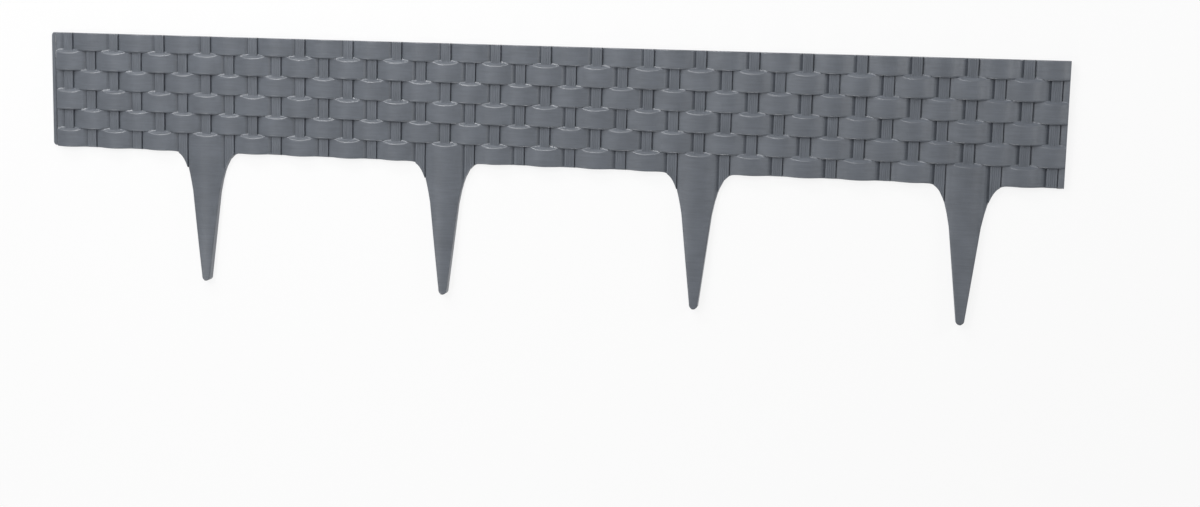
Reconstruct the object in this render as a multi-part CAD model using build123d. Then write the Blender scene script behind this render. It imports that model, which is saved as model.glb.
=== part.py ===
from build123d import *
import math
import os

# Lawn edging strip with a basket-weave face, moulded as one piece.
# Stored lying on its back: +X runs along the strip, +Y is the edge that
# stands uppermost in use, the spikes point to -Y and the face is up (+Z).
# All sizes are in millimetres.

# Weave
PITCH = 19.5            # spacing of the post columns
COLUMNS = 40
ROWS = 6
ROW_H = 15.5            # height of the four inner rows
EDGE_ROW_H = 14.4       # height of the top row and the bottom row
BACK_WALL = 2.8         # wall left behind the lowest dip
AMP = 1.6               # strip wave, half of the full depth
EVEN_FORWARD = 0.45     # even rows stand this much further forward
POST_W = 7.4            # width of a post
POST_BEHIND = 0.35      # post face behind the middle of the wave
GROOVE_L = 2.0          # width of the sloping groove left of each post
GROOVE_L_WALL = 1.3     # wall left behind it
GROOVE_R = 0.8          # width of the sloping groove right of each post
GROOVE_R_WALL = 2.1     # wall left behind it
LEDGE_TILT = 45.0       # slope of the ledge on top of each strip, degrees

# Ground spikes
SPIKE_COLUMNS = [6, 16, 26, 36]
SPIKE_L = 102.0         # length below the panel
SPIKE_HALF_TOP = 28.0   # half width where the shoulder meets the panel
SPIKE_HALF_NECK = 11.3  # half width at the end of the shoulder
NECK_DEPTH = 31.0       # depth of the end of the shoulder
TIP_HALF = 3.25         # half width just above the rounded tip
TIP_R = 3.2             # radius of the tip
SHOULDER_RUN = 9.0      # the shoulder first follows the panel's edge this far
SHOULDER_LEAN = 3.6     # and comes down on the neck from this far outside
SHOULDER_RISE = 20.0    # and from this far above

# Ends
HOOK_W = 3.0            # upright bead at the left end
SLOT_W = 1.5            # groove between the bead and the weave
HOOK_Z = 2.8            # top of the bead
WEB_Z = 1.2             # web behind the groove
HOOK_RAISED = 0.8       # bead stops this far above the bottom edge
HOOK_R = 2.0            # rounded outer corners of the bead
END_TRIM = 1.0          # the right end stops this far short of a full column
LIP_W = 1.2             # rear lip at the right end
CATCH_W = 3.5           # recess beside the lip, seen from the back
CATCH_Z = 1.7           # depth of that recess

# Hollow back
POCKET_HALF = 8.2       # half width of the pocket behind a strip
POCKET_WALL = 2.0       # wall over the pocket
POCKET_LOW = 1.6        # pocket starts this far above the row's bottom
POCKET_HIGH = 2.2       # pocket stops this far below the row's top
SPIKE_WALL = 2.4        # side wall of a spike
RIB_W = 2.4             # centre rib inside a spike
SPIKE_POCKET_UP = 16.0  # pocket behind a spike starts this far above the tip
LAST_POCKET_GAP = 1.5   # wall between the last pockets and the end recess

OVER = 1.0              # blanks and cutters run this far past the part

PANEL_H = (ROWS - 2) * ROW_H + 2 * EDGE_ROW_H
WEAVE_L = COLUMNS * PITCH
END_L = HOOK_W + SLOT_W
TOTAL_L = WEAVE_L + END_L - END_TRIM
X0 = -TOTAL_L / 2
XW = X0 + END_L
X1 = TOTAL_L / 2
Y0 = (SPIKE_L - PANEL_H) / 2
Y1 = Y0 + PANEL_H
YT = Y0 - SPIKE_L
MID = BACK_WALL + AMP
WAVE_R = ((PITCH / 2) ** 2 + AMP ** 2) / (2 * AMP)
TILT = math.tan(math.radians(LEDGE_TILT))
TOP_Z = MID + AMP + EVEN_FORWARD
TAPER = (SPIKE_HALF_NECK - TIP_HALF) / (SPIKE_L - NECK_DEPTH - TIP_R)


def line(a, b, y):
    return Edge.make_line((a[0], y, a[1]), (b[0], y, b[1]))


def arc(a, m, b, y):
    return Edge.make_three_point_arc((a[0], y, a[1]), (m[0], y, m[1]), (b[0], y, b[1]))


def row_mid(row):
    """Height of the middle of the wave in a row."""
    return MID + (EVEN_FORWARD if row % 2 == 0 else 0)


def dip_z(row, u):
    return row_mid(row) - AMP + WAVE_R - math.sqrt(WAVE_R ** 2 - u ** 2)


def dip_arc(row, xm, ua, ub, y):
    pts = [(xm + u, dip_z(row, u)) for u in (ua, (ua + ub) / 2, ub)]
    return arc(pts[0], pts[1], pts[2], y)


def row_profile(row, y):
    """Closed section of one row: flat back, waved front with its posts."""
    edges = []
    mid = row_mid(row)
    half = POST_W / 2
    far_l = half + GROOVE_L
    far_r = half + GROOVE_R
    post_z = MID - POST_BEHIND
    for col in range(COLUMNS):
        xa = XW + col * PITCH
        xm = xa + PITCH / 2
        xb = xa + PITCH
        if (col + row) % 2 == 0:
            edges.append(arc((xa, mid), (xm, mid + AMP), (xb, mid), y))
            continue
        edges.append(dip_arc(row, xm, -PITCH / 2, -far_l, y))
        corners = [(xm - far_l, dip_z(row, far_l)), (xm - half, GROOVE_L_WALL),
                   (xm - half, post_z), (xm + half, post_z),
                   (xm + half, GROOVE_R_WALL), (xm + far_r, dip_z(row, far_r))]
        for p, q in zip(corners, corners[1:]):
            edges.append(line(p, q, y))
        edges.append(dip_arc(row, xm, far_r, PITCH / 2, y))
    x_end = XW + WEAVE_L
    edges.append(line((x_end, mid), (x_end, 0), y))
    edges.append(line((x_end, 0), (XW, 0), y))
    edges.append(line((XW, 0), (XW, mid), y))
    return Face(Wire(edges))


def under_ledge(y_edge, low):
    """Everything below the sloping ledge plane through y_edge at mid depth."""
    x = X0 - OVER
    zt = TOP_Z + OVER
    pts = [(x, low, -OVER), (x, low, zt),
           (x, y_edge - (zt - MID) * TILT, zt),
           (x, y_edge + (MID + OVER) * TILT, -OVER)]
    face = Face(Wire.make_polygon(pts, close=True))
    return Solid.extrude(face, Vector(TOTAL_L + 3 * OVER, 0, 0))


def spike_face(xc):
    """Outline of one spike, running on a little way into the panel."""
    yn = Y0 - NECK_DEPTH
    ya = YT + TIP_R
    yu = Y0 + OVER
    edges = []
    for side in (-1, 1):
        top = xc + side * SPIKE_HALF_TOP
        neck = xc + side * SPIKE_HALF_NECK
        edges.append(Edge.make_bezier((top, Y0, 0), (top - side * SHOULDER_RUN, Y0, 0),
                                      (neck + side * SHOULDER_LEAN, yn + SHOULDER_RISE, 0),
                                      (neck, yn, 0)))
        edges.append(Edge.make_line((neck, yn, 0), (xc + side * TIP_HALF, ya, 0)))
        edges.append(Edge.make_line((top, Y0, 0), (top, yu, 0)))
    edges.append(Edge.make_three_point_arc((xc + TIP_HALF, ya, 0), (xc, YT, 0),
                                           (xc - TIP_HALF, ya, 0)))
    edges.append(Edge.make_line((xc + SPIKE_HALF_TOP, yu, 0), (xc - SPIKE_HALF_TOP, yu, 0)))
    return Face(Wire(edges))


def row_span(row):
    """Bottom and top of a row; row 1 is the uppermost."""
    if row == 1:
        return Y1 - EDGE_ROW_H, Y1
    low = Y1 - EDGE_ROW_H - (row - 1) * ROW_H
    if row == ROWS:
        low = Y0
    return low, Y1 - EDGE_ROW_H - (row - 2) * ROW_H


# Rows of the weave, the lowest one running on down into the spikes.
rows = []
for row in range(1, ROWS + 1):
    low, high = row_span(row)
    if row == 1:
        rows.append(Solid.extrude(row_profile(row, low), Vector(0, high - low, 0)))
        continue
    start = low
    if row == ROWS:
        start = YT - OVER
    reach = high - start + (MID + OVER) * TILT + OVER
    long = Solid.extrude(row_profile(row, start), Vector(0, reach, 0))
    rows.append(long & under_ledge(high, start - OVER))

# The lowest row is trimmed to the edge of the panel and the spikes.
height = TOP_Z + 2 * OVER
keep = [Pos(0, (Y0 + Y1) / 2, height / 2 - OVER) * Box(TOTAL_L + 4 * OVER, PANEL_H, height)]
for col in SPIKE_COLUMNS:
    xc = XW + (col + 0.5) * PITCH
    keep.append(Pos(0, 0, -OVER) * Solid.extrude(spike_face(xc), Vector(0, 0, height)))
outline = keep[0].fuse(*keep[1:])
rows[-1] = rows[-1] & outline

# Left end: bead and web.
bead_h = PANEL_H - HOOK_RAISED
bead_y = Y0 + HOOK_RAISED + bead_h / 2
web = Pos(XW + (OVER - END_L) / 2, bead_y, WEB_Z / 2) * Box(END_L + OVER, bead_h, WEB_Z)
bead = Pos(X0 + HOOK_W / 2, bead_y, HOOK_Z / 2) * Box(HOOK_W, bead_h, HOOK_Z)
hook = bead + web
corner = hook.edges().filter_by(Axis.Z).group_by(Axis.X)[0]
hook = fillet(corner, HOOK_R)

panel = rows[0].fuse(*rows[1:])
panel = panel + hook

# Pockets behind the strips, one behind each bulge.
cuts = []
roof_r = WAVE_R - POCKET_WALL
for row in range(1, ROWS + 1):
    low, high = row_span(row)
    ya = low + POCKET_LOW
    yb = high - POCKET_HIGH
    for col in range(COLUMNS):
        if (col + row) % 2 == 1:
            continue
        xm = XW + (col + 0.5) * PITCH
        if row == ROWS and col in SPIKE_COLUMNS:
            continue
        half = POCKET_HALF
        left, right = xm - half, xm + half
        if col == COLUMNS - 1:
            right = X1 - LIP_W - CATCH_W - LAST_POCKET_GAP
        centre_z = row_mid(row) + AMP - WAVE_R
        z_l = centre_z + math.sqrt(roof_r ** 2 - (left - xm) ** 2)
        z_r = centre_z + math.sqrt(roof_r ** 2 - (right - xm) ** 2)
        z_top = row_mid(row) + AMP - POCKET_WALL
        wire = Wire([line((left, -OVER), (left, z_l), ya),
                     arc((left, z_l), (xm, z_top), (right, z_r), ya),
                     line((right, z_r), (right, -OVER), ya),
                     line((right, -OVER), (left, -OVER), ya)])
        cuts.append(Solid.extrude(Face(wire), Vector(0, yb - ya, 0)))

# Long pockets behind the spikes, left and right of the centre rib.
ya = YT + SPIKE_POCKET_UP
yb = row_span(ROWS)[1] - POCKET_HIGH
yn = Y0 - NECK_DEPTH
low_half = TIP_HALF + (SPIKE_POCKET_UP - TIP_R) * TAPER - SPIKE_WALL
roof_z = row_mid(ROWS) + AMP - WAVE_R
for col in SPIKE_COLUMNS:
    xc = XW + (col + 0.5) * PITCH
    roof = Pos(xc, 0, roof_z) * Rot(90, 0, 0) * Cylinder(roof_r, 2 * (SPIKE_L + PANEL_H))
    for side in (-1, 1):
        inner = xc + side * RIB_W / 2
        outer = xc + side * POCKET_HALF
        pts = [(inner, ya, -OVER), (xc + side * low_half, ya, -OVER),
               (outer, yn, -OVER), (outer, yb, -OVER), (inner, yb, -OVER)]
        base = Face(Wire.make_polygon(pts, close=True))
        cuts.append(Solid.extrude(base, Vector(0, 0, height)) & roof)

# Right end: trimmed short of a full column, with a recess that leaves a lip
# along the edge at the back.
trim = Box(END_TRIM + OVER, PANEL_H + 2 * OVER, 2 * height)
cuts.append(Pos(X1 + (END_TRIM + OVER) / 2, (Y0 + Y1) / 2, 0) * trim)
catch_x = X1 - LIP_W - CATCH_W / 2
catch = Box(CATCH_W, PANEL_H + 2 * OVER, CATCH_Z + OVER)
cuts.append(Pos(catch_x, (Y0 + Y1) / 2, (CATCH_Z - OVER) / 2) * catch)

solid = panel.cut(*cuts).solids()[0]

os.makedirs("parts", exist_ok=True)
export_step(solid, "parts/edging_panel.step")
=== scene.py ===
import bpy
import bmesh
import math
import numpy as np
from mathutils import Matrix, Vector


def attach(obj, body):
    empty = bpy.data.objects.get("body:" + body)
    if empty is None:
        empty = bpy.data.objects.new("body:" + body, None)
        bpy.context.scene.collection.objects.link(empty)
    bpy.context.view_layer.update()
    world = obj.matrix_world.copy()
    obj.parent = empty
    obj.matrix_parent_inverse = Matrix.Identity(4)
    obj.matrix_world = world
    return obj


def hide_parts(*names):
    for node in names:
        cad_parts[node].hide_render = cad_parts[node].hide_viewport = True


# Lawn edging strip with a basket-weave face, lying on its back.
# +X runs along the strip, +Y is the edge that stands uppermost in use,
# the spikes point to -Y and the woven face is up.
# Lengths of the strip are in millimetres and become metres where the mesh is made.

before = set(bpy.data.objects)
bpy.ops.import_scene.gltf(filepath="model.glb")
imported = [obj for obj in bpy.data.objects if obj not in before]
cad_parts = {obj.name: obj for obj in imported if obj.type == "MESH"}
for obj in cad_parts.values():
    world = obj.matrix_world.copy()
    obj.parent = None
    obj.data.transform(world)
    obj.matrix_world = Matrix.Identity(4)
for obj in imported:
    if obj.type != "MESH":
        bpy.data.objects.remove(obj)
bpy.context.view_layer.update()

MM = 0.001
QUARTER = math.pi / 2

# Sizes shared with the solid
PITCH = 19.5            # spacing of the post columns
COLUMNS = 40
ROWS = 6
ROW_H = 15.5            # height of the four inner rows
EDGE_ROW_H = 14.4       # height of the top row and the bottom row
BACK_WALL = 2.8         # wall left behind the lowest dip
AMP = 1.6               # strip wave, half of the full depth
EVEN_FORWARD = 0.45     # even rows stand this much further forward
POST_W = 7.4            # width of a post
POST_BEHIND = 0.35      # post face behind the middle of the wave
SPIKE_COLUMNS = [6, 16, 26, 36]
SPIKE_L = 102.0         # length below the panel
SPIKE_HALF_TOP = 28.0   # half width where the shoulder meets the panel
SPIKE_HALF_NECK = 11.3  # half width at the end of the shoulder
NECK_DEPTH = 31.0       # depth of the end of the shoulder
TIP_HALF = 3.25         # half width just above the rounded tip
TIP_R = 3.2             # radius of the tip
SHOULDER_RUN = 9.0      # the shoulder first follows the panel's edge this far
SHOULDER_LEAN = 3.6     # and comes down on the neck from this far outside
SHOULDER_RISE = 20.0    # and from this far above
END_TRIM = 1.0          # the right end stops this far short of a full column
HOOK_W = 3.0            # upright bead at the left end
SLOT_W = 1.5            # groove between the bead and the weave
HOOK_Z = 2.8            # top of the bead
WEB_Z = 1.2             # web behind the groove
HOOK_RAISED = 0.8       # bead stops this far above the bottom edge
HOOK_R = 2.0            # rounded outer corners of the bead
LIP_W = 1.2             # rear lip at the right end
CATCH_W = 3.5           # recess beside the lip
CATCH_Z = 1.7           # depth of that recess

# Fine relief, only here
LEDGE_RUN = 0.85        # run of a ledge along Y, per depth between the two strips
LEDGE_DROP = 0.1        # ledge centre below the row's edge
LEDGE_FULL = 2.0        # depth from which it lies that low
LEDGE_R = 1.3           # rounding along both edges of the ledge
STRIP_R = 1.7           # rounding of the strips' lower edges
EDGE_R = 0.8            # rounding of the lowest edge and the spikes
RIM_R = 0.6             # rounding of the panel's upper edge
SLOPE_W = 3.3           # the strip curves down into the left groove over this width
SLOPE_BEND = 1.5        # how it curves
SLOPE_Z = 1.7           # foot of that slope
SLOT_GAP = 0.55         # width of the slot right of each post
SLOT_LEAN = 0.15        # its right side leans out by this much
SLOT_Z = 1.9            # floor of that slot
SINK_W = 3.4            # the strip sinks towards the slot over this width
SINK_DROP = 0.6         # and by this much
POST_R = 0.25           # rounding of the posts' edges
POST_RIBS = 4           # fine lines along each post
RIB_DEEP = 0.16         # depth of a line
RIB_HALF = 0.22         # its half width at the face
RIB_FLOOR = 0.05        # and at its floor
POST_BEVEL = 0.3        # bevel at the foot of the lowest posts
# The head of the uppermost posts, as distance below the panel's edge and behind the face
POST_HEAD = ((0.8, 0.0), (0.5, 0.0), (0.15, 0.12), (0.0, 0.45))
BOTTOM_WAVE = 0.5       # the bottom edge rises this much between the bulges
WAVE_FADE = 4.0         # that wave dies out over this distance beside a spike
BEAD_R = 0.5            # rounding of the bead's face

# Mesh points and hidden walls
ARC_POINTS = 4          # points along each rounding of a ledge
RIM_POINTS = 6          # points along the upper rim
HOOK_POINTS = 7         # points along each corner of the bead
BULGE_POINTS = 17       # points across a bulge
SPIKE_POINTS = 40       # points across a bulge that runs down into a spike
TIP_POINTS = (2.7, 3.05, 3.2)   # and more of them where the tip turns steep
SPIKE_NEAR = 30.0       # dips this close to a spike's axis get fine points too
FOOT_STEPS = (0.3, 0.6, 0.9)    # shares of the quarter turn along a lower edge
POST_STEPS = (0.33, 0.67, 1.0)  # and along a post's edge
SLOPE_STEPS = (0.1, 0.2, 0.3, 0.4, 0.52, 0.64, 0.76, 0.88, 1.0)
SINK_STEPS = (0.0, 0.12, 0.25, 0.4, 0.55, 0.75)
SIDE_POINTS = (4, 4)    # points left and right of a dip's grooves
FINE_SIDE_POINTS = (10, 12)     # the same near a spike
SHOULDER_POINTS = 200   # points that stand for a spike's shoulder
FLAT_STEP = 0.3         # points this close to a rounding keep the faces flat between
ROUND_SHARE = 0.45      # a rounding takes up this share of its wall at most
LEDGE_SHARE = 0.46      # and on a ledge this share of its slope
LEAST_GAP = 0.02        # smaller steps between two strips get no ledge
LEAST_SQUARE = 0.11     # a steep outline counts as this square, so its rounding stays in bounds
WALL_DOWN = 3.0         # hidden walls run down this far
WALL_Z = 0.6            # but stop this far above the back
CATCH_COVER = 0.2       # and this far above the recess
CATCH_MARGIN = 0.1      # which counts as this much wider
TUCK = 0.02             # hidden walls start this far past a ledge
HEAD_STEP = 0.01        # spacing of the spare points where there is no ledge
HEAD_TUCK = (0.15, 0.4)         # how far such an edge tucks in and down
POST_FLOOR = 0.1        # the floor under a post, below the slope's foot
POST_UNDER = (0.4, 0.3)         # the grooves' floors reach this far under it, left and right
POST_SINK = 0.3         # the posts' sides start this far below the slope's foot and the slot's floor
POST_TUCK = 2.0         # the posts run this far down behind the row below
POST_REACH = 0.3        # and this far up behind the row above
SHARP_ANGLE = 42        # degrees from which an edge is drawn sharp
WEB_IN = 1.0            # the web starts this far inside the bead
WEB_UNDER = 0.5         # runs this far under the weave
WEB_SHORT = 0.3         # and stops this far below the upper edge
WEB_FOOT = 0.01         # its walls start this far above the back
BEAD_STEPS = 3          # steps of the rounding of the bead's face

# Which of the solid's faces the back takes over
BACK_FACING = 0.5       # a face that looks back has more than this of its normal that way
UPRIGHT = 0.3           # an upright one has less than this of it up or down
SQUARE_ON = 0.9         # and one along X or Y has more than this of it that way
END_ON = 0.99           # as the ends of the spikes' pockets have, to more than this
CLOSE = 0.1             # on the panel's edge or end within this distance
AT_BACK = 0.01          # on the plane of the back within this height
BELOW_PANEL = 0.05      # a face this far below the panel belongs to a spike
RIB_REACH = 1.5         # half width of a spike's centre rib, with a margin
POCKET_REACH = 8.0      # the pockets' ends lie this close to the axis
TIP_CLEAR = 10.0        # and at least this far above the tip

PANEL_H = (ROWS - 2) * ROW_H + 2 * EDGE_ROW_H
END_L = HOOK_W + SLOT_W
TOTAL_L = COLUMNS * PITCH + END_L - END_TRIM
X0 = -TOTAL_L / 2
XW = X0 + END_L
X1 = TOTAL_L / 2
Y0 = (SPIKE_L - PANEL_H) / 2
Y1 = Y0 + PANEL_H
MID = BACK_WALL + AMP
WAVE_R = ((PITCH / 2) ** 2 + AMP ** 2) / (2 * AMP)
SPIKES = [XW + (c + 0.5) * PITCH for c in SPIKE_COLUMNS]
CATCH_X = X1 - LIP_W - CATCH_W - CATCH_MARGIN


def column_middle(col):
    return XW + (col + 0.5) * PITCH


def is_bulge(row, col):
    return (col + row) % 2 == 0


def wave(row, x):
    """Front of the strip in a row, without the grooves."""
    col = math.floor((x - XW) / PITCH)
    u = x - XW - (col + 0.5) * PITCH
    sign = 1 if is_bulge(row, col) else -1
    lift = EVEN_FORWARD if row % 2 == 0 else 0.0
    return MID + lift + sign * (AMP - WAVE_R + math.sqrt(WAVE_R ** 2 - u * u))


def row_span(row):
    """Bottom and top of a row; row 1 is the uppermost."""
    if row == 1:
        return Y1 - EDGE_ROW_H, Y1
    low = Y1 - EDGE_ROW_H - (row - 1) * ROW_H
    if row == ROWS:
        low = Y0
    return low, Y1 - EDGE_ROW_H - (row - 2) * ROW_H


def bezier(p, t):
    s = 1 - t
    return [s ** 3 * p[0][i] + 3 * s * s * t * p[1][i] + 3 * s * t * t * p[2][i] + t ** 3 * p[3][i]
            for i in (0, 1)]


# The spikes' shoulder, as distance from the axis and depth below the panel
shoulder_ends = [(SPIKE_HALF_TOP, 0), (SPIKE_HALF_TOP - SHOULDER_RUN, 0),
                 (SPIKE_HALF_NECK + SHOULDER_LEAN, NECK_DEPTH - SHOULDER_RISE),
                 (SPIKE_HALF_NECK, NECK_DEPTH)]
shoulder = [bezier(shoulder_ends, t) for t in np.linspace(0, 1, SHOULDER_POINTS)]
SHOULDER_X = np.array([p[0] for p in shoulder[::-1]])
SHOULDER_D = np.array([p[1] for p in shoulder[::-1]])


def spike_depth(u):
    """Depth of the spike's outline below the panel at u from its axis."""
    u = abs(u)
    if u >= SPIKE_HALF_TOP:
        return 0.0
    if u >= SPIKE_HALF_NECK:
        return float(np.interp(u, SHOULDER_X, SHOULDER_D))
    if u >= TIP_HALF:
        t = (SPIKE_HALF_NECK - u) / (SPIKE_HALF_NECK - TIP_HALF)
        return NECK_DEPTH + t * (SPIKE_L - NECK_DEPTH - TIP_R)
    return SPIKE_L - TIP_R + TIP_R * math.sqrt(max(0.0, 1 - (u / TIP_HALF) ** 2))


def lower_edge(x):
    """Front outline of the bottom edge and spikes, its foot, and how square it lies to Y."""
    u = min((x - c for c in SPIKES), key=abs)
    d = spike_depth(u)
    if d == 0:
        phase = math.pi * ((x - XW) / PITCH - 0.5)
        fade = min(1, (abs(u) - SPIKE_HALF_TOP) / WAVE_FADE)
        rise = BOTTOM_WAVE * 0.5 * (1 - math.cos(phase)) * fade
        return Y0 + rise, Y0, 1.0
    near = 0.05
    slope = (spike_depth(abs(u) + near) - spike_depth(max(0.0, abs(u) - near))) / (2 * near)
    return Y0 - d, Y0 - d, max(LEAST_SQUARE, 1 / math.sqrt(1 + slope * slope))


class Shell:
    """Collects vertices and faces of the whole moulding, in metres."""

    def __init__(self):
        self.co = []
        self.faces = []
        self.mat = []

    def grid(self, columns, mat, flip=False):
        """Quads between neighbouring columns of points."""
        start = len(self.co)
        n = len(columns[0])
        for col in columns:
            self.co.extend(col)
        for i in range(len(columns) - 1):
            for j in range(n - 1):
                a = start + i * n + j
                quad = (a, a + n, a + n + 1, a + 1)
                self.faces.append(quad[::-1] if flip else quad)
                self.mat.append(mat)

    def add(self, mesh, mat, keep=None):
        """A mesh's own faces, or those of them that keep lets through."""
        start = len(self.co)
        self.co.extend([tuple(v.co) for v in mesh.vertices])
        for p in mesh.polygons:
            if keep is None or keep(p):
                self.faces.append(tuple(start + i for i in p.vertices))
                self.mat.append(mat)


STRIP, POST, BACK = range(3)
shell = Shell()


def to_m(x, pts):
    return [(x * MM, y * MM, z * MM) for y, z in pts]


def ledge(start, high_z, gap):
    """Section of the sloping ledge between two strips, both ends rounded."""
    run = LEDGE_RUN * gap
    tilt = math.atan2(gap, run)
    length = math.hypot(gap, run)
    cut = min(LEDGE_R * math.tan(tilt / 2), LEDGE_SHARE * length)
    r = cut / math.tan(tilt / 2)
    turns = [tilt * k / (ARC_POINTS - 1) for k in range(ARC_POINTS)]
    front = [(start - cut + r * math.sin(a), high_z - r + r * math.cos(a)) for a in turns]
    low_y = start + run + cut
    low_z = high_z - gap + r
    back = [(low_y - r * math.sin(a), low_z - r * math.cos(a)) for a in reversed(turns)]
    return front + back


def lower_side(row, x, z, deepest):
    """Section of a row's foot at x: its wall and the rounding up to the strip's face."""
    low, high = row_span(row)
    base = low
    square = 1.0
    back = max(deepest, z - WALL_DOWN)
    largest = STRIP_R
    if row == ROWS:
        low, base, square = lower_edge(x)
        back = 0.0
        largest = EDGE_R
    r = min(largest, ROUND_SHARE * (z - back))
    reach = r / square
    room = (high - low) * ROUND_SHARE
    pts = [(base, back), (low, z - r)]
    for k in FOOT_STEPS:
        a = k * QUARTER
        pts.append((low + min(room, reach * (1 - math.cos(a))), z - r + r * math.sin(a)))
    foot = low + min(room, reach)
    return pts + [(foot, z), (foot + FLAT_STEP, z)]


def rim(high, z):
    """Section of the panel's rounded upper edge, down to the back."""
    pts = [(high - RIM_R - FLAT_STEP, z)]
    for k in range(RIM_POINTS):
        a = k / (RIM_POINTS - 1) * QUARTER
        pts.append((high - RIM_R + RIM_R * math.sin(a), z - RIM_R + RIM_R * math.cos(a)))
    return pts + [(high, 0.0)]


def upper_side(row, x, z, deepest):
    """Section of a row's head at x: the ledge on it, or a plain edge under the row above."""
    high = row_span(row)[1]
    gap = z - wave(row - 1, x)
    if gap > LEAST_GAP:
        start = high - LEDGE_DROP * min(1, gap / LEDGE_FULL) - LEDGE_RUN * gap / 2
        slope = ledge(start, z, gap)
        behind = (slope[-1][0] + TUCK, max(deepest, z - gap - WALL_DOWN))
        return [(slope[0][0] - FLAT_STEP, z)] + slope + [behind]
    spare = [(high + HEAD_STEP * k, z) for k in range(2 * ARC_POINTS)]
    return [(high - FLAT_STEP, z)] + spare + [(high + HEAD_TUCK[0], z - HEAD_TUCK[1])]


def section(row, x, z):
    """Points up one row at x, from the foot to behind the row above."""
    deepest = WALL_Z if x < CATCH_X else CATCH_Z + CATCH_COVER
    foot = lower_side(row, x, z, deepest)
    if row == 1:
        return foot + rim(Y1, z)
    return foot + upper_side(row, x, z, deepest)


def bulge_stations(row, col):
    """Positions across a bulge, without a depth of their own."""
    xm = column_middle(col)
    half = PITCH / 2
    us = list(np.linspace(-half, half, BULGE_POINTS))
    if row == ROWS and col in SPIKE_COLUMNS:
        across = [round(v, 3) for v in np.linspace(-half, half, SPIKE_POINTS)]
        tip = [side * u for side in (-1, 1) for u in TIP_POINTS]
        us = sorted(set(across + tip))
    return [(xm + u, None) for u in us]


def post_stations(row, col):
    """Positions across a dip, with the depths of the grooves beside its post."""
    xm = column_middle(col)
    half = PITCH / 2
    post = POST_W / 2
    far_l = post + SLOPE_W + (EVEN_FORWARD if row % 2 == 0 else 0)
    near_r = post + SLOT_GAP
    far_r = near_r + SINK_W
    fine = row == ROWS and min(abs(xm - c) for c in SPIKES) < SPIKE_NEAR
    points_l, points_r = FINE_SIDE_POINTS if fine else SIDE_POINTS
    under_l, under_r = POST_UNDER
    out = [(xm + u, None) for u in np.linspace(-half, -far_l, points_l)]
    drop = wave(row, xm - post) - SLOPE_Z
    for t in SLOPE_STEPS:
        x = xm - far_l + (far_l - post) * t
        out.append((x, wave(row, x) - drop * t ** SLOPE_BEND))
    floor_z = SLOPE_Z - POST_FLOOR
    out += [(xm - post + under_l, floor_z), (xm, floor_z), (xm + post - under_r, SLOT_Z)]
    out.append((xm + near_r - SLOT_LEAN, SLOT_Z))
    for t in SINK_STEPS:
        x = xm + near_r + SINK_W * t
        out.append((x, wave(row, x) - SINK_DROP * (1 - t) ** 2))
    return out + [(xm + u, None) for u in np.linspace(far_r, half, points_r)]


def strip(row):
    """The waved strip of one row, closed at both ends."""
    same = 1e-6
    margin = 0.01
    cols = []
    for col in range(COLUMNS):
        stations = bulge_stations if is_bulge(row, col) else post_stations
        for x, z in stations(row, col):
            if cols and z is None and abs(x - cols[-1][0]) < same:
                continue
            if x < X1 + margin:
                cols.append((x, section(row, x, wave(row, x) if z is None else z)))
    if cols[-1][0] < X1 - margin:
        cols.append((X1, section(row, X1, wave(row, X1))))
    shell.grid([to_m(x, pts) for x, pts in cols], STRIP)
    for (x, pts), flip in ((cols[0], True), (cols[-1], False)):
        foot = [(y, 0.0) for y, z in pts]
        shell.grid([to_m(x, pts), to_m(x, foot)], STRIP, flip)


def post_profile():
    """Section across a post: its sides, rounded edges and fine lines."""
    half = POST_W / 2
    face = MID - POST_BEHIND
    r = POST_R
    prof = [(-half, SLOPE_Z - POST_SINK), (-half, face - r)]
    for k in POST_STEPS:
        a = k * QUARTER
        prof.append((-half + r - r * math.cos(a), face - r + r * math.sin(a)))
    for k in range(1, POST_RIBS + 1):
        c = -half + r + (POST_W - 2 * r) * k / (POST_RIBS + 1)
        prof += [(c - RIB_HALF, face), (c - RIB_FLOOR, face - RIB_DEEP)]
        prof += [(c + RIB_FLOOR, face - RIB_DEEP), (c + RIB_HALF, face)]
    for k in reversed(POST_STEPS):
        a = k * QUARTER
        prof.append((half - r + r * math.cos(a), face - r + r * math.sin(a)))
    return prof + [(half, face - r), (half, SLOT_Z - POST_SINK)]


def post(row, col):
    """One post, from under the row below to under the row above."""
    low, high = row_span(row)
    cols = []
    for u, z in post_profile():
        x = column_middle(col) + u
        if row == ROWS:
            y_low, y_base, _ = lower_edge(x)
            pts = [(y_base, 0.0), (y_low, z - POST_BEVEL), (y_low + POST_BEVEL, z)]
        else:
            pts = [(low - POST_TUCK, z)]
        if row == 1:
            pts += [(high - below, z - behind) for below, behind in POST_HEAD]
            pts.append((high, 0.0))
        else:
            pts.append((high + POST_REACH, z))
        cols.append((x, pts))
    shell.grid([to_m(x, pts) for x, pts in cols], POST)


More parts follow.
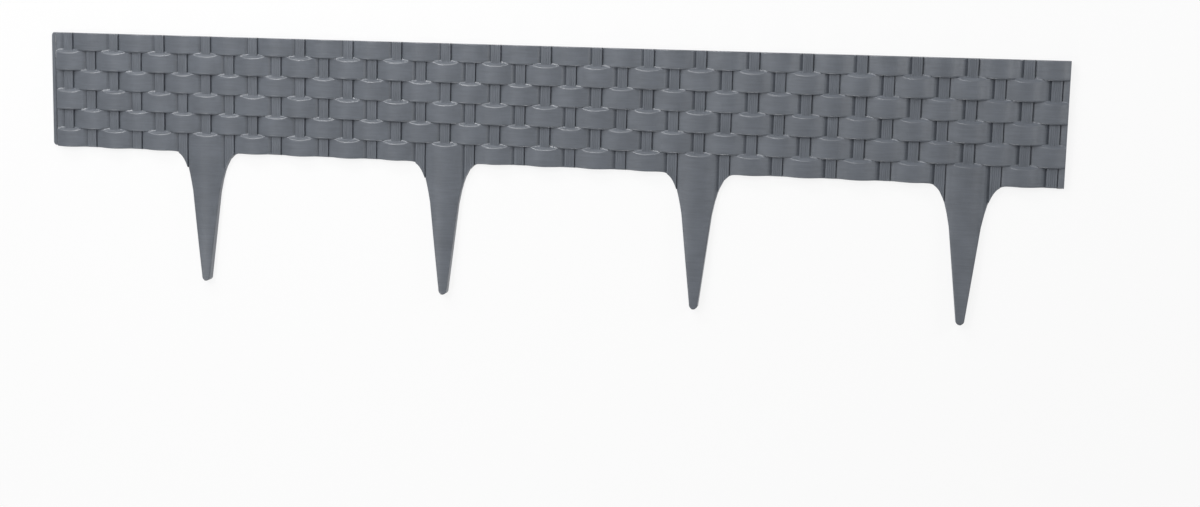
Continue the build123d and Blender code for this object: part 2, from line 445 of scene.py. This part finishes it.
def solid_back():
    """Back, pockets and recess, taken over from the solid's own faces."""
    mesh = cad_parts["edging_panel"].data
    co = np.array([v.co for v in mesh.vertices]) / MM

    def keep(p):
        nx, ny, nz = p.normal
        if nz < -BACK_FACING:
            return True
        q = co[list(p.vertices)]
        x, y, _ = q.mean(axis=0)
        stands = abs(nz) < UPRIGHT and q[:, 2].min() < AT_BACK and x > XW + CLOSE
        at_edge = abs(ny) > SQUARE_ON and min(abs(y - Y1), abs(y - Y0)) < CLOSE
        at_end = abs(nx) > SQUARE_ON and abs(x - X1) < CLOSE
        if not stands or at_edge or at_end:
            return False
        if y >= Y0 - BELOW_PANEL:
            return True
        # On a spike only the walls of its pockets are kept, not its outline.
        u = x - min(SPIKES, key=lambda s: abs(x - s))
        pocket_wall = abs(u) < RIB_REACH or nx * u < 0
        above_tip = y > Y0 - SPIKE_L + TIP_CLEAR
        pocket_end = abs(ny) > END_ON and above_tip and abs(u) < POCKET_REACH
        return pocket_wall or pocket_end

    shell.add(mesh, BACK, keep=keep)


def hook():
    """Bead and web at the left end."""
    bm = bmesh.new()
    ya = Y0 + HOOK_RAISED
    turns = [QUARTER * k / (HOOK_POINTS - 1) for k in range(HOOK_POINTS)]
    xr = X0 + HOOK_R
    pts = [(X0 + HOOK_W, ya)]
    pts += [(xr - HOOK_R * math.sin(a), ya + HOOK_R - HOOK_R * math.cos(a)) for a in turns]
    pts += [(xr - HOOK_R * math.cos(a), Y1 - HOOK_R + HOOK_R * math.sin(a)) for a in turns]
    pts.append((X0 + HOOK_W, Y1))

    def ring(outline, z):
        return [bm.verts.new((x * MM, y * MM, z * MM)) for x, y in outline]

    base = ring(pts, 0)
    top = ring(pts, HOOK_Z)
    for i in range(len(pts)):
        j = (i + 1) % len(pts)
        bm.faces.new((base[i], top[i], top[j], base[j]))
    lid = bm.faces.new(top[::-1])
    bm.faces.new(base)
    edges = list(lid.edges)
    bmesh.ops.bevel(bm, geom=edges, offset=BEAD_R * MM, segments=BEAD_STEPS, affect="EDGES")
    box = [(X0 + WEB_IN, ya), (XW + WEB_UNDER, ya)]
    box += [(x, Y1 - WEB_SHORT) for x, y in reversed(box)]
    low = ring(box, WEB_FOOT)
    up = ring(box, WEB_Z)
    bm.faces.new(up)
    for i in range(len(box)):
        j = (i + 1) % len(box)
        bm.faces.new((low[i], low[j], up[j], up[i]))
    bmesh.ops.recalc_face_normals(bm, faces=bm.faces)
    mesh = bpy.data.meshes.new("hook")
    bm.to_mesh(mesh)
    bm.free()
    shell.add(mesh, BACK)


for row in range(1, ROWS + 1):
    strip(row)
    for col in range(COLUMNS):
        if not is_bulge(row, col):
            post(row, col)
solid_back()
hook()

mesh = bpy.data.meshes.new("woven_strip")
mesh.from_pydata(shell.co, [], shell.faces)
mesh.update()
mesh.polygons.foreach_set("material_index", shell.mat)
mesh.polygons.foreach_set("use_smooth", [True] * len(shell.faces))
panel = bpy.data.objects.new("woven_strip", mesh)
bpy.context.scene.collection.objects.link(panel)
mesh.validate()
mesh.set_sharp_from_angle(angle=math.radians(SHARP_ANGLE))

# Materials
BASE = (0.135, 0.149, 0.172)
TINT = 0.12             # the grain is this much lighter and darker than the base
SHEEN = (0.27, 0.37)    # roughness across the grain
SPECULAR = 0.85
GRAIN_DEPTH = 0.00025   # metres
GRAIN_STRENGTH = 0.4
TINT_BAND = (0.35, 0.65)        # noise values between which the colour changes
LINE_SHARE = 0.5        # of the colour's change, the clouds do the rest
SPECK_SHARE = 0.35      # height of the specks beside the drawn lines
# Size, detail and roughness of each noise, and how fine it is along X, Y and Z
LINES = (1.0, 3.0, 0.6)
CLOUDS = (60.0, 3.0, 0.55)
SPECKS = (1500.0, 2.0, 0.6)
EVEN = (1, 1, 1)
GRAINS = {
    "strip_plastic": (50, 800, 300),
    "post_plastic": (800, 50, 300),
    "back_plastic": (300, 300, 300),
}


def math_node(nt, operation, value):
    node = nt.nodes.new("ShaderNodeMath")
    node.operation = operation
    node.inputs[1].default_value = value
    return node


def noise(nt, coords, stretch, size, detail, rough):
    """Noise on the object's own coordinates, stretched along its grain."""
    mapping = nt.nodes.new("ShaderNodeMapping")
    mapping.inputs["Scale"].default_value = stretch
    tex = nt.nodes.new("ShaderNodeTexNoise")
    tex.inputs["Scale"].default_value = size
    tex.inputs["Detail"].default_value = detail
    tex.inputs["Roughness"].default_value = rough
    nt.links.new(coords, mapping.inputs["Vector"])
    nt.links.new(mapping.outputs["Vector"], tex.inputs["Vector"])
    return tex.outputs["Fac"]


def tint(nt, lines, cloud):
    """Base colour, a little lighter and darker along the grain and in clouds."""
    ramp = nt.nodes.new("ShaderNodeValToRGB")
    low, high = ramp.color_ramp.elements
    low.position = TINT_BAND[0]
    low.color = tuple(v * (1 - TINT) for v in BASE) + (1,)
    high.position = TINT_BAND[1]
    high.color = tuple(v * (1 + TINT) for v in BASE) + (1,)
    half = math_node(nt, "MULTIPLY", 1 - LINE_SHARE)
    blend = math_node(nt, "MULTIPLY_ADD", LINE_SHARE)
    nt.links.new(cloud, half.inputs[0])
    nt.links.new(lines, blend.inputs[0])
    nt.links.new(half.outputs["Value"], blend.inputs[2])
    nt.links.new(blend.outputs["Value"], ramp.inputs["Fac"])
    return ramp.outputs["Color"]


def sheen(nt, lines):
    """Roughness, a little higher and lower along the grain."""
    rough = nt.nodes.new("ShaderNodeMapRange")
    rough.inputs["To Min"].default_value = SHEEN[0]
    rough.inputs["To Max"].default_value = SHEEN[1]
    nt.links.new(lines, rough.inputs["Value"])
    return rough.outputs["Result"]


def grain_bump(nt, lines, speck):
    """Bump of the drawn lines and the specks."""
    mix = math_node(nt, "MULTIPLY_ADD", SPECK_SHARE)
    nt.links.new(speck, mix.inputs[0])
    nt.links.new(lines, mix.inputs[2])
    bump = nt.nodes.new("ShaderNodeBump")
    bump.inputs["Strength"].default_value = GRAIN_STRENGTH
    bump.inputs["Distance"].default_value = GRAIN_DEPTH
    nt.links.new(mix.outputs["Value"], bump.inputs["Height"])
    return bump.outputs["Normal"]


def plastic(name, grain):
    """Satin moulded plastic with a fine grain, drawn along the axis where it is least fine."""
    mat = bpy.data.materials.new(name)
    mat.use_nodes = True
    nt = mat.node_tree
    bsdf = nt.nodes["Principled BSDF"]
    bsdf.inputs["Specular IOR Level"].default_value = SPECULAR
    coords = nt.nodes.new("ShaderNodeTexCoord").outputs["Object"]
    lines = noise(nt, coords, grain, *LINES)
    cloud = noise(nt, coords, EVEN, *CLOUDS)
    speck = noise(nt, coords, EVEN, *SPECKS)
    nt.links.new(tint(nt, lines, cloud), bsdf.inputs["Base Color"])
    nt.links.new(sheen(nt, lines), bsdf.inputs["Roughness"])
    nt.links.new(grain_bump(nt, lines, speck), bsdf.inputs["Normal"])
    return mat


# In the order of STRIP, POST and BACK
for name, grain in GRAINS.items():
    panel.data.materials.append(plastic(name, grain))

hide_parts("edging_panel")
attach(panel, "root")

# Floor
FLOOR_HALF = 6          # metres
FLOOR_BELOW = 0.0002    # metres
FLOOR_COLOR = (0.9, 0.9, 0.9, 1)
FLOOR_PLAIN = 0.85      # share of plain white that the camera and mirrors see


def floor_material():
    """Mostly plain white for the camera and reflections, and diffuse for the rest, with the shadow."""
    mat = bpy.data.materials.new("floor_white")
    mat.use_nodes = True
    nt = mat.node_tree
    nt.nodes.clear()
    out = nt.nodes.new("ShaderNodeOutputMaterial")
    diffuse = nt.nodes.new("ShaderNodeBsdfDiffuse")
    diffuse.inputs["Color"].default_value = FLOOR_COLOR
    emit = nt.nodes.new("ShaderNodeEmission")
    emit.inputs["Strength"].default_value = 1.0
    path = nt.nodes.new("ShaderNodeLightPath")
    total = path.outputs["Is Camera Ray"]
    for ray in ("Is Glossy Ray", "Is Transmission Ray"):
        add = nt.nodes.new("ShaderNodeMath")
        nt.links.new(total, add.inputs[0])
        nt.links.new(path.outputs[ray], add.inputs[1])
        total = add.outputs["Value"]
    seen = math_node(nt, "MULTIPLY", FLOOR_PLAIN)
    nt.links.new(total, seen.inputs[0])
    mixer = nt.nodes.new("ShaderNodeMixShader")
    nt.links.new(seen.outputs["Value"], mixer.inputs["Fac"])
    nt.links.new(diffuse.outputs["BSDF"], mixer.inputs[1])
    nt.links.new(emit.outputs["Emission"], mixer.inputs[2])
    nt.links.new(mixer.outputs["Shader"], out.inputs["Surface"])
    return mat


corners = [(x * FLOOR_HALF, y * FLOOR_HALF, 0) for x, y in ((-1, -1), (1, -1), (1, 1), (-1, 1))]
mesh = bpy.data.meshes.new("floor")
mesh.from_pydata(corners, [], [(0, 1, 2, 3)])
floor = bpy.data.objects.new("floor", mesh)
floor.location.z = -FLOOR_BELOW
bpy.context.scene.collection.objects.link(floor)
floor.data.materials.append(floor_material())

# Light, in metres and watts
WORLD_STRENGTH = 0.17
LAMP_SIZE = 0.3
LAMP_AIM = (0, 0.05, 0)
LAMPS = {
    "high_a": ((-0.9, 1.0, 0.55), 2.0),
    "high_b": ((-0.5, 1.0, 0.55), 2.6),
    "high_c": ((-0.1, 1.0, 0.55), 1.6),
    "high_d": ((0.2, 0.8, 0.8), 0.8),
    "near_a": ((-0.6, 0.55, 1.0), 4.4),
    "near_b": ((-0.1, 0.55, 1.0), 1.6),
    "right": ((1.0, 0.2, 1.2), 1.1),
    "right_edge": ((1.2, 0.5, 0.4), 3.4),
    "low_left": ((-0.8, -0.6, 0.95), 2.8),
    "low_right": ((0.6, -0.6, 0.95), 0.5),
    "front": ((0.0, -1.2, 0.4), 2.8),
}

world = bpy.data.worlds.new("studio")
bpy.context.scene.world = world
world.use_nodes = True
background = world.node_tree.nodes["Background"]
background.inputs["Color"].default_value = (1, 1, 1, 1)
background.inputs["Strength"].default_value = WORLD_STRENGTH


def lamp(name, place, power):
    """Square softbox aimed at the strip."""
    data = bpy.data.lights.new(name, "AREA")
    data.size = LAMP_SIZE
    data.energy = power
    obj = bpy.data.objects.new(name, data)
    obj.location = place
    aim = Vector(LAMP_AIM) - Vector(place)
    obj.rotation_euler = aim.to_track_quat("-Z", "Y").to_euler()
    bpy.context.scene.collection.objects.link(obj)


for name, (place, power) in LAMPS.items():
    lamp(name, place, power)

# Camera, fitted to the photo's posts, corners and spike tips
IMAGE_W_PX = 1200
FOCAL_PX = 1600
SHIFT_PX = -36.5
SENSOR_MM = 36
CAMERA_AT = (0.283952, 0.124705, 1.176813)
YAW = math.radians(10.971334)
NOD = math.radians(-7.397084)
ROLL = math.radians(1.363867)
NEAR_CLIP = 0.05
FAR_CLIP = 50

cam_data = bpy.data.cameras.new("camera")
cam_data.sensor_width = SENSOR_MM
cam_data.lens = SENSOR_MM * FOCAL_PX / IMAGE_W_PX
cam_data.shift_y = SHIFT_PX / IMAGE_W_PX
cam_data.clip_start = NEAR_CLIP
cam_data.clip_end = FAR_CLIP
cam = bpy.data.objects.new("camera", cam_data)
bpy.context.scene.collection.objects.link(cam)
bpy.context.scene.camera = cam
spin = Matrix.Rotation(YAW, 4, "Y") @ Matrix.Rotation(NOD, 4, "X") @ Matrix.Rotation(ROLL, 4, "Z")
cam.matrix_world = Matrix.Translation(CAMERA_AT) @ spin

bpy.context.scene.view_settings.view_transform = "Standard"
